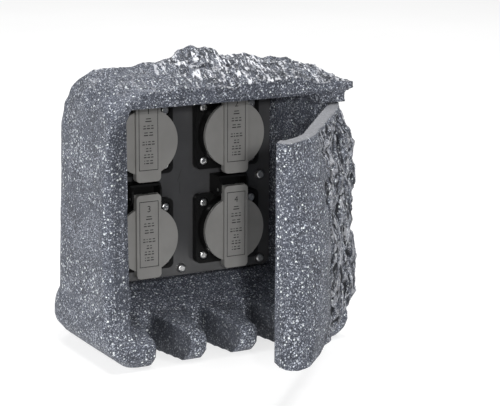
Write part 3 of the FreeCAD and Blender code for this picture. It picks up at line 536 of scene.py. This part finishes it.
def mark_wear(piece, rings, broken):
    # worn is 0.5 on flat ground, above it on ridges and below it in hollows
    mesh = piece.data
    count = len(mesh.vertices)
    place = numpy.empty(count * 3, numpy.float64)
    mesh.vertices.foreach_get("co", place)
    place = place.reshape(-1, 3)
    facing = numpy.empty(count * 3, numpy.float64)
    mesh.vertex_normals.foreach_get("vector", facing)
    facing = facing.reshape(-1, 3)
    ends = numpy.empty(len(mesh.edges) * 2, numpy.int64)
    mesh.edges.foreach_get("vertices", ends)
    a, b = ends.reshape(-1, 2).T
    neighbours = numpy.maximum(numpy.bincount(ends, minlength=count), 1)[:, None]
    calm = place
    for _ in range(rings):
        # every point goes to the average of its neighbours; the edges bring each point its neighbours
        total = numpy.zeros_like(calm)
        for axis in range(3):
            total[:, axis] = numpy.bincount(a, calm[b, axis], count)
            total[:, axis] += numpy.bincount(b, calm[a, axis], count)
        calm = total / neighbours
    standing = ((place - calm) * facing).sum(axis=1)
    broken = numpy.array(broken, numpy.float32)
    worn = numpy.clip(0.5 + broken * standing / WEAR_DEPTH, 0.0, 1.0)
    mark(piece, "worn", worn.astype(numpy.float32))
    mark(piece, "broken", broken)


print("point tools ready")

# %% [markdown]
# The block comes first. Its crown is rough from the middle to the right, where strata run down to the
# front, and smoother over the left end. Below the lip the cast surface only swells gently. Each part of
# the relief has its own height and width, so that any of them can be changed alone.

# %% Relief of the crown
LIP_UNDER = 0.175
CROWN_CALM = 0.18
ACROSS_STRATA = Vector((0.96, -0.29, 0.0))
ALONG_STRATA = Vector((0.29, 0.96, 0.0))
DRIFT = 0.005
LUMP, RIDGE, CHIP, CHIPLET = 0.0022, 0.0010, 0.0009, 0.0004
RIDGE_WIDE, CHIP_WIDE, CHIPLET_WIDE = 0.0095, 0.0130, 0.0050
SWELL = 0.0005
SUNK = 0.0003


def crown_face(at, normal):
    # 1 on the broken top from the middle to the right, little on the left end, none below the lip
    rise = smooth_step(LIP_UNDER + 0.003, LIP_UNDER + 0.009, at.z) * smooth_step(0.05, 0.45, normal.z)
    wander = 0.012 * noises.noise(at * 40.0)
    return rise * (CROWN_CALM + (1.0 - CROWN_CALM) * smooth_step(-0.062, -0.006, at.x + wander))


def crown_depth(at, normal):
    # strata: crests that run from the back to the front, a little to the left
    drift = noises.noise_vector(at * 45.0) * DRIFT
    strata = Vector((at.dot(ACROSS_STRATA), at.dot(ALONG_STRATA) * 0.3, at.z * 0.5)) + drift
    deep = LUMP * noises.noise(at * 42.0) + RIDGE * ridges(strata, RIDGE_WIDE, 2.0)
    deep += CHIP * chips(at + drift, CHIP_WIDE, 7.7) + CHIPLET * chips(at, CHIPLET_WIDE, 1.9)
    return crown_face(at, normal) * deep


def block_depth(at, normal):
    # a cast surface swells a little all over, but the underside stays flat on the ground
    swell = SWELL * noises.fractal(at * 45.0, 0.8, 2.0, 3) - SUNK
    return crown_depth(at, normal) + swell * (1.0 - smooth_step(0.0, 0.3, -normal.z))


print("crown relief at most about", round(1000 * (LUMP + RIDGE + CHIP + CHIPLET), 1), "mm")

# %% [markdown]
# Two places of the block are rounder or more sloping on the real one than in the plain solid: the top
# left shoulder, and the front of the left wall, which leans back towards the recess and so faces away
# from the key light. They are moved as soft fields, full in one place and fading out round it.

# %% Shoulder and wall front
WALL_OUTSIDE, WALL_WIDE, WALL_INSIDE = -0.0835, 0.016, -0.0620
WALL_FRONT, SLOPE_END = -0.045, -0.034
SLOPE_BACK, SLOPE_IN = 0.0062, 0.0034
SHOULDER_UP, SHOULDER_IN = 0.0040, 0.0022


def wall_slope(at):
    # rises to 1 across the front of the left wall, from the foot to the lip, and is 0 everywhere else
    if at.x > WALL_INSIDE or at.y > SLOPE_END:
        return 0.0
    across = min(1.0, max(0.0, (at.x - WALL_OUTSIDE) / WALL_WIDE))
    front = 1.0 - smooth_step(WALL_FRONT, SLOPE_END, at.y)
    return band(at.z, 0.028, 0.040, 0.156, 0.168) * across * front


def shoulder(at):
    # 1 on the top left shoulder, from the middle of the block to the back
    behind = smooth_step(-0.010, 0.030, at.y)
    return band(at.x, -0.0785, -0.0690, -0.054, -0.038) * smooth_step(0.160, 0.172, at.z) * behind


def under_shoulder(at):
    # just under the shoulder the wall already leans in
    behind = smooth_step(-0.010, 0.030, at.y)
    return smooth_step(0.150, 0.163, at.z) * (1.0 - smooth_step(-0.0770, -0.0700, at.x)) * behind


def block_shift(at):
    slope = wall_slope(at)
    inwards = SHOULDER_IN * under_shoulder(at) + SLOPE_IN * slope * slope
    return Vector((inwards, SLOPE_BACK * slope, SHOULDER_UP * shoulder(at)))


print("wall front leans back by", round(1000 * SLOPE_BACK, 1), "mm")

# %% [markdown]
# The sides of the cable gaps get painted shade, a darker colour where little light reaches. The front of
# the left wall, where the closed door rests and which faces away from the key light, gets less of it. A
# noise would scatter it anywhere; worked out from the place and the direction of the surface, it lies
# where the shade falls.

# %% Painted shade
SEAT_PAINTED_SHADE = 0.45


def block_dirt(at, normal):
    # painted shade: how much darker the stone is drawn at a point, full on the sides of the cable gaps
    # and less on the front of the left wall
    side = smooth_step(0.35, 0.75, abs(normal.x)) * (1.0 - smooth_step(0.064, 0.070, abs(at.x)))
    gap = side * smooth_step(-0.009, -0.016, at.y) * (1.0 - smooth_step(0.020, 0.028, at.z))
    if at.x >= -0.060:
        return gap
    seat = smooth_step(-0.45, -0.75, normal.y) * smooth_step(-0.0825, -0.0775, at.x)
    return gap + SEAT_PAINTED_SHADE * seat * band(at.z, 0.030, 0.042, 0.160, 0.168)


print("dirt ready")

# %% [markdown]
# Now the block is made: the skin, the change of form, finer faces on the crown alone, and the relief.
# Finer faces all over would cost four times as many and show nothing more.

# %% The stone block
SKIN_SIZE = 0.0015
CROWN_FROM = 0.1795
LEDGE_BEHIND = 0.1815
WEAR_RINGS = 3


def on_crown(middle):
    return middle.z > CROWN_FROM and not (middle.y > 0.0 and middle.z < LEDGE_BEHIND)


block = even_skin(frame["nodes"]["stone_body"], "stone_base", SKIN_SIZE)
reshape(block, block_shift)
print("faces split on the crown:", split_up(block, on_crown))
push(block, block_depth)
mark_wear(block, WEAR_RINGS, at_points(block, crown_face))
# the painted shade of the cable gaps and the left wall's front is stored at the points
mark(block, "dirt", at_points(block, block_dirt))
print("block skin:", len(block.data.polygons), "faces")

# %% [markdown]
# The crown and the base wear different materials. Blending both in one material is possible, but two
# pieces keep each of them small and each finish simple. The cut runs just above the lip's edge, where
# both look alike.

# %% Crown and base apart
CUT_AT = CROWN_FROM + 0.003
select_only([block])
for face in block.data.polygons:
    face.select = face.center.z > CUT_AT
bpy.ops.object.mode_set(mode="EDIT")
bpy.ops.mesh.separate(type="SELECTED")
bpy.ops.object.mode_set(mode="OBJECT")
crown = next(o for o in bpy.context.selected_objects if o is not block)
crown.name = "stone_crown"
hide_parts("stone_body")
for piece, look in ((block, stone), (crown, rock)):
    piece.data.materials.clear()
    piece.data.materials.append(look)
    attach(piece, "block")
    piece.data.shade_smooth()
print("crown:", len(crown.data.polygons), "faces; base:", len(block.data.polygons), "faces")

# %% [markdown]
# The door is cast from the same stone. Its outer face is cleft rock with deep pits; the free end and the
# inside stay as smooth as the block, and the top edge is plain and pale. Distances are measured along
# the open door from its hinge, so the rock stays on the door's face at any opening angle.

# %% Relief of the door
ALONG = Vector((-math.cos(OPEN), -math.sin(OPEN), 0.0))
OUT = Vector((math.sin(OPEN), -math.cos(OPEN), 0.0))
FREE_END = 0.118
DOOR_FOOT, DOOR_HEAD = 0.0278, 0.1672
DOOR_LUMP, DOOR_CHIP, DOOR_CHIPLET, DOOR_RIDGE = 0.0016, 0.0010, 0.0004, 0.0004
DOOR_CHIP_WIDE, DOOR_CHIPLET_WIDE, DOOR_RIDGE_WIDE = 0.0125, 0.0050, 0.0060
# a pit is dug where a noise rises above its rim, and the deeper the higher it rises
PIT_DEPTH, PIT_SCALE, PIT_RIM = 0.014, 85.0, 0.10
DOOR_SWELL = 0.0002


def door_face(at, normal):
    # 1 on the cleft outer face, 0 on the smooth free end, the top and the foot
    reach = (at - HINGE).dot(ALONG)
    face = smooth_step(0.1, 0.5, normal.dot(OUT)) * smooth_step(0.004, 0.014, reach)
    wander = 0.010 * noises.noise(at * 70.0)
    face *= 1.0 - smooth_step(FREE_END - 0.014, FREE_END + 0.002, reach + wander)
    return face * band(at.z, DOOR_FOOT, DOOR_FOOT + 0.006, DOOR_HEAD - 0.004, DOOR_HEAD)


def door_depth(at, normal):
    spot = at + noises.noise_vector(at * 45.0) * DRIFT
    deep = DOOR_LUMP * noises.noise(at * 50.0) + DOOR_CHIP * chips(spot, DOOR_CHIP_WIDE, 2.2)
    deep += DOOR_CHIPLET * chips(at, DOOR_CHIPLET_WIDE, 8.8)
    # ridges and pits are taller than wide
    tall = Vector((spot.x, spot.y, 0.6 * spot.z))
    deep += DOOR_RIDGE * ridges(tall, DOOR_RIDGE_WIDE, 9.0)
    pit = max(0.0, noises.noise(tall * PIT_SCALE + Vector((5.0, 0.0, 0.0))) - PIT_RIM)
    return door_face(at, normal) * (deep - PIT_DEPTH * pit) + DOOR_SWELL * noises.noise(at * 60.0)


def door_plain(at, normal):
    # 1 on the top edge
    return smooth_step(0.55, 0.8, normal.z) * smooth_step(DOOR_HEAD - 0.0025, DOOR_HEAD - 0.0008, at.z)


print("door face from", DOOR_FOOT, "to", DOOR_HEAD, "up, and", FREE_END, "out from the hinge")

# %% [markdown]
# The door is made in the same steps as the block, with a finer skin, because its pits are narrow. What
# is cleft and what is plain is read from the smooth skin, before the relief turns its normals about.

# %% The door
DOOR_SKIN_SIZE = 0.0011
DOOR_WEAR_RINGS = 4
door = even_skin(frame["nodes"]["door_shell"], "door_stone", DOOR_SKIN_SIZE)
door_broken = at_points(door, door_face)
mark(door, "plain", at_points(door, door_plain))
push(door, door_depth)
mark_wear(door, DOOR_WEAR_RINGS, door_broken)
door.data.materials.clear()
door.data.materials.append(door_rock)
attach(door, "door")
door.data.shade_smooth()
print("door:", len(door.data.polygons), "faces")

# %% [markdown]
# Every lid has a frame engraved round its bar, and in it a few rows of marks. Here each socket gets its
# number and plain dashes. They could be a pattern in the material, but marks this small stay sharper as
# flat strokes, each a thin box that stands a fiftieth of a millimetre proud of the face behind it.

# %% Strokes
STROKE_DEEP = 0.00012
STROKE_SUNK = 0.00004
# dark strokes: print on the lids and the panel, and painted shade in the lids' grooves
ink_and_groove_shade = plastic("mark_dark", (0.012, 0.012, 0.012), 0.6)


def settle():
    # the place, turn and size of what is selected go into its mesh
    bpy.ops.object.transform_apply(location=True, rotation=True, scale=True)


def stroke(x, z, front, width, height, turn=0.0):
    # one flat stroke, sunk into the face behind it
    bpy.ops.object.select_all(action="DESELECT")
    bpy.ops.mesh.primitive_cube_add(size=1.0)
    piece = bpy.context.object
    piece.scale = (width, STROKE_DEEP, height)
    piece.rotation_euler = (0.0, turn, 0.0)
    piece.location = (x, front + STROKE_SUNK, z)
    settle()
    return piece


def join(pieces, name, look, body):
    select_only(pieces)
    bpy.ops.object.join()
    piece = bpy.context.object
    piece.name = name
    piece.data.materials.clear()
    piece.data.materials.append(look)
    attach(piece, body)
    return piece


print("strokes are", round(1000 * STROKE_DEEP, 2), "mm thick")

# %% [markdown]
# The number is a text object turned into a mesh; everything else is strokes. The frame's four lines are
# dark strokes of painted shade, put in the groove of the CAD lid and set back as deep as the groove. All
# marks of a lid and its painted groove shade are joined into one piece that rides on it, so they move
# when the lid opens.

# %% Marks and painted groove shade on the lids
BAR_FRONT = -0.0010
GROOVE_FRONT = BAR_FRONT + 0.00025
DIGIT_SIZE, DIGIT_UP, DIGIT_THICK = 0.0062, 0.0200, 0.00006
# height above the socket's middle, and the widths of the dashes in the row
DASH_ROWS = [(0.0150, (0.0046,)), (0.0101, (0.0020, 0.0024, 0.0020)), (0.0054, (0.0032, 0.0030)),
             (-0.0009, (0.0018, 0.0010, 0.0022, 0.0022)), (-0.0055, (0.0020, 0.0014)),
             (-0.0098, (0.0020, 0.0020, 0.0018)), (-0.0140, (0.0008, 0.0022, 0.0024))]
DASH_GAP, DASH_HIGH, UPPER_DASH_HIGH, UPPER_DASH_UP = 0.0007, 0.0007, 0.0006, 0.0018
FRAME_SIDE, FRAME_LOW, FRAME_TOP, FRAME_LINE = 0.00705, -0.01875, 0.02725, 0.0005


def digit_mark(number, cx, cz):
    bpy.ops.object.select_all(action="DESELECT")
    bpy.ops.object.text_add()
    digit = bpy.context.object
    digit.data.body = str(number)
    digit.data.size = DIGIT_SIZE
    digit.data.align_x = "CENTER"
    digit.data.extrude = DIGIT_THICK
    bpy.ops.object.convert(target="MESH")
    digit = bpy.context.object
    digit.rotation_euler = (math.radians(90.0), 0.0, 0.0)
    digit.location = (cx, BAR_FRONT + STROKE_SUNK, cz + DIGIT_UP)
    settle()
    return digit


def dash_row(cx, z, widths):
    # a row of dashes about the middle, each with a thinner one above it
    row = []
    x = cx - (sum(widths) + DASH_GAP * (len(widths) - 1)) / 2
    for width in widths:
        middle = x + width / 2
        row.append(stroke(middle, z, BAR_FRONT, width, DASH_HIGH))
        row.append(stroke(middle, z + UPPER_DASH_UP, BAR_FRONT, width * 0.8, UPPER_DASH_HIGH))
        x += width + DASH_GAP
    return row


for number, (place, (cx, cz)) in enumerate(SOCKETS.items(), 1):
    marks = [digit_mark(number, cx, cz)]
    for z, widths in DASH_ROWS:
        marks += dash_row(cx, cz + z, widths)
    # the frame: four dark strokes in the groove, painted shade where the groove's own shade falls
    frame_middle = cz + (FRAME_LOW + FRAME_TOP) / 2
    for side in (-1, 1):
        long_side = FRAME_TOP - FRAME_LOW + FRAME_LINE
        marks.append(stroke(cx + side * FRAME_SIDE, frame_middle, GROOVE_FRONT, FRAME_LINE, long_side))
    for z in (FRAME_LOW, FRAME_TOP):
        short_side = 2 * FRAME_SIDE - FRAME_LINE
        marks.append(stroke(cx, cz + z, GROOVE_FRONT, short_side, FRAME_LINE))
    join(marks, "lid_marks_" + place, ink_and_groove_shade, "lid_" + place)
print("marks on", len(SOCKETS), "lids")

# %% [markdown]
# The panel has a thin mark of two strokes in its middle: a slanting one, and an upright one under it.
# They are made like the marks on the lids, only finer.

# %% Mark on the panel
PANEL_FRONT = 0.0180
MARK_LINE = 0.0005
SLANT = math.atan2(0.0034, 0.0085)
slanting = stroke(-0.0011, 0.1120, PANEL_FRONT, MARK_LINE, 0.0092, SLANT)
upright = stroke(-0.0008, 0.1033, PANEL_FRONT, MARK_LINE, 0.0080)
join([slanting, upright], "panel_mark", ink_and_groove_shade, "block")
print("panel mark leans by", round(math.degrees(SLANT), 1), "degrees")

# %% [markdown]
# The screws are bright pan heads with a cross recess. A head is a cylinder whose front edge gets a round
# bevel; two thin bars, turned a right angle apart, are cut out of it. One head is modelled for each size
# and then set over every screw, each with its cross turned differently, as screws are when driven.

# %% One screw head
HEAD_SIDES = 24
BAR_LONG, BAR_DEEP, BAR_WIDE = 1.15, 0.0016, 0.3
CROSS_TURN = 0.25


def cut_bar(piece, radius, rise, turn):
    # one bar of the cross; its length and width are shares of the head's radius
    bpy.ops.object.select_all(action="DESELECT")
    bpy.ops.mesh.primitive_cube_add(size=1.0)
    cutter = bpy.context.object
    cutter.scale = (radius * BAR_LONG, BAR_DEEP, radius * BAR_WIDE)
    cutter.rotation_euler = (0.0, turn, 0.0)
    cutter.location = (0.0, -rise, 0.0)
    settle()
    cross = piece.modifiers.new("cross", "BOOLEAN")
    cross.object = cutter
    cross.operation = "DIFFERENCE"
    bpy.context.view_layer.objects.active = piece
    bpy.ops.object.modifier_apply(modifier=cross.name)
    bpy.data.objects.remove(cutter)


def head(radius, rise):
    bpy.ops.object.select_all(action="DESELECT")
    middle, lying = (0.0, -rise / 2, 0.0), (math.radians(90.0), 0.0, 0.0)
    bpy.ops.mesh.primitive_cylinder_add(vertices=HEAD_SIDES, radius=radius, depth=rise,
                                        location=middle, rotation=lying)
    piece = bpy.context.object
    settle()
    bpy.ops.object.mode_set(mode="EDIT")
    bpy.ops.mesh.select_mode(type="FACE")
    bpy.ops.mesh.select_all(action="DESELECT")
    work = bmesh.from_edit_mesh(piece.data)
    for face in work.faces:
        face.select = face.normal.y < -0.9
    bmesh.update_edit_mesh(piece.data)
    bpy.ops.mesh.region_to_loop()
    bpy.ops.mesh.bevel(offset=rise * 0.55, segments=3, affect="EDGES")
    bpy.ops.object.mode_set(mode="OBJECT")
    for turn in (CROSS_TURN, CROSS_TURN + math.pi / 2):
        cut_bar(piece, radius, rise, turn)
    return piece


print("screw head ready, with a rim of", HEAD_SIDES, "sides")

# %% [markdown]
# Each socket's flange has a screw in every corner, and the panel eight round its rim. The copies are
# turned, set down and joined into one piece for the flanges and one for the panel. Smoothing by angle
# rounds the rims and keeps the crosses sharp.

# %% A head over every screw
HEAD_TURN = 0.9
HEAD_RISE = 0.0024
SMOOTH_BELOW = math.radians(35.0)
FLANGE_HEAD_R, PANEL_HEAD_R = 0.00308, 0.00328
FLANGE_FRONT = 0.0136
# half the spacing of the screws in a flange, and across and up the panel
SCREW_OFF = 0.019
PANEL_X, PANEL_Z = 0.063, 0.062
MIDDLE_Z = (SOCKETS["tl"][1] + SOCKETS["bl"][1]) / 2


def set_heads(pattern, places, front, name):
    copies = []
    for k, (x, z) in enumerate(places):
        copy = pattern.copy()
        copy.data = pattern.data.copy()
        bpy.context.scene.collection.objects.link(copy)
        copy.rotation_euler = (0.0, HEAD_TURN * k, 0.0)
        copy.location = (x, front, z)
        copies.append(copy)
    select_only(copies)
    settle()
    join(copies, name, steel, "block")
    bpy.ops.object.shade_smooth_by_angle(angle=SMOOTH_BELOW)
    bpy.data.objects.remove(pattern)


flange_places = [(cx + sx * SCREW_OFF, cz + sz * SCREW_OFF)
                 for cx, cz in SOCKETS.values() for sx in (-1, 1) for sz in (-1, 1)]
panel_places = [(x, MIDDLE_Z + z) for z in (-PANEL_Z, PANEL_Z) for x in (-PANEL_X, 0.0, PANEL_X)]
panel_places += [(-PANEL_X, MIDDLE_Z), (PANEL_X, MIDDLE_Z)]
set_heads(head(FLANGE_HEAD_R, HEAD_RISE), flange_places, FLANGE_FRONT, "flange_screw_heads")
set_heads(head(PANEL_HEAD_R, HEAD_RISE), panel_places, PANEL_FRONT, "panel_screw_heads")
print("screw heads:", len(flange_places) + len(panel_places))

# %% [markdown]
# Moulded edges are never quite sharp. A narrow bevel lets the lids and the socket bodies catch a line of
# light. A modifier does this without touching the CAD mesh itself.

# %% Small bevels
BEVELS = {"lid_": 0.0005, "socket_base_": 0.0004}
for place in SOCKETS:
    for node, width in BEVELS.items():
        soft = frame["nodes"][node + place].modifiers.new("soft_edge", "BEVEL")
        soft.width = width
        soft.segments = 2
        soft.angle_limit = math.radians(50.0)
print("edges softened on", len(SOCKETS) * len(BEVELS), "parts")

# %% [markdown]
# A wide pale floor fills the picture behind the object. Lit by the lamps alone it would be grey, with
# dark shadows, so it also glows a little, as a light table does, and the sky adds a faint even light from
# all round.

# %% Floor and sky
FLOOR_GLOW, SKY = 0.72, 0.25
# the floor lies a hair below the feet, so that the two surfaces are never in one place
FLOOR_WIDE, FLOOR_Z = 12.0, -0.0004
FLOOR_TONES = ((0.31, 0.31, 0.31), (0.35, 0.35, 0.35))
WHITE = (1.0, 1.0, 1.0, 1.0)
bpy.ops.object.select_all(action="DESELECT")
bpy.ops.mesh.primitive_plane_add(size=FLOOR_WIDE, location=(0.0, 0.0, FLOOR_Z))
floor = bpy.context.object
floor.name = "floor"
floor_material, floor_shader, floor_at = new_material("floor_white")
floor_drift = noise(floor_at, 3.0).ramp(0.2, 0.8)
plug(floor_shader, base_color=floor_drift.tint(rgba(FLOOR_TONES[0]), rgba(FLOOR_TONES[1])))
plug(floor_shader, roughness=0.8, specular_ior_level=0.1)
plug(floor_shader, emission_color=WHITE, emission_strength=FLOOR_GLOW)
floor.data.materials.append(floor_material)
world = bpy.data.worlds.new("studio")
bpy.context.scene.world = world
world.use_nodes = True
world.node_tree.nodes["Background"].inputs["Color"].default_value = WHITE
world.node_tree.nodes["Background"].inputs["Strength"].default_value = SKY
print("floor", FLOOR_WIDE, "m wide, glow", FLOOR_GLOW)

# %% [markdown]
# One lamp alone would leave the recess black. There are five: a key on the left, a small one close to
# the camera, two overhead and one behind. Each was placed where the brightness of the walls, the crown
# and the recess asks for it. Wide lamps give soft shadows; the small one gives the door's shadow in the
# recess its firm edge.

# %% Lamps
LAMPS_AIM = Vector((0.0, -0.03, 0.1))
# place, width and watts of each lamp
LAMPS = {
    "key": ((-1.964, -0.346, 1.030), 0.6, 21.5),
    "front": ((-0.765, -1.993, 0.632), 0.12, 21.0),
    "over_right": ((0.953, -0.550, 2.005), 0.6, 20.0),
    "over": ((0.0, -0.077, 2.299), 0.6, 20.0),
    "behind": ((0.0, 1.414, 1.785), 0.6, 15.0),
}
for name, (place, width, watts) in LAMPS.items():
    lamp_data = bpy.data.lights.new(name, "AREA")
    lamp_data.energy = watts
    lamp_data.size = width
    lamp = bpy.data.objects.new(name, lamp_data)
    bpy.context.scene.collection.objects.link(lamp)
    aim = (LAMPS_AIM - Vector(place)).to_track_quat("-Z", "Y")
    lamp.matrix_world = Matrix.Translation(place) @ aim.to_matrix().to_4x4()
print("lamps:", ", ".join(LAMPS))
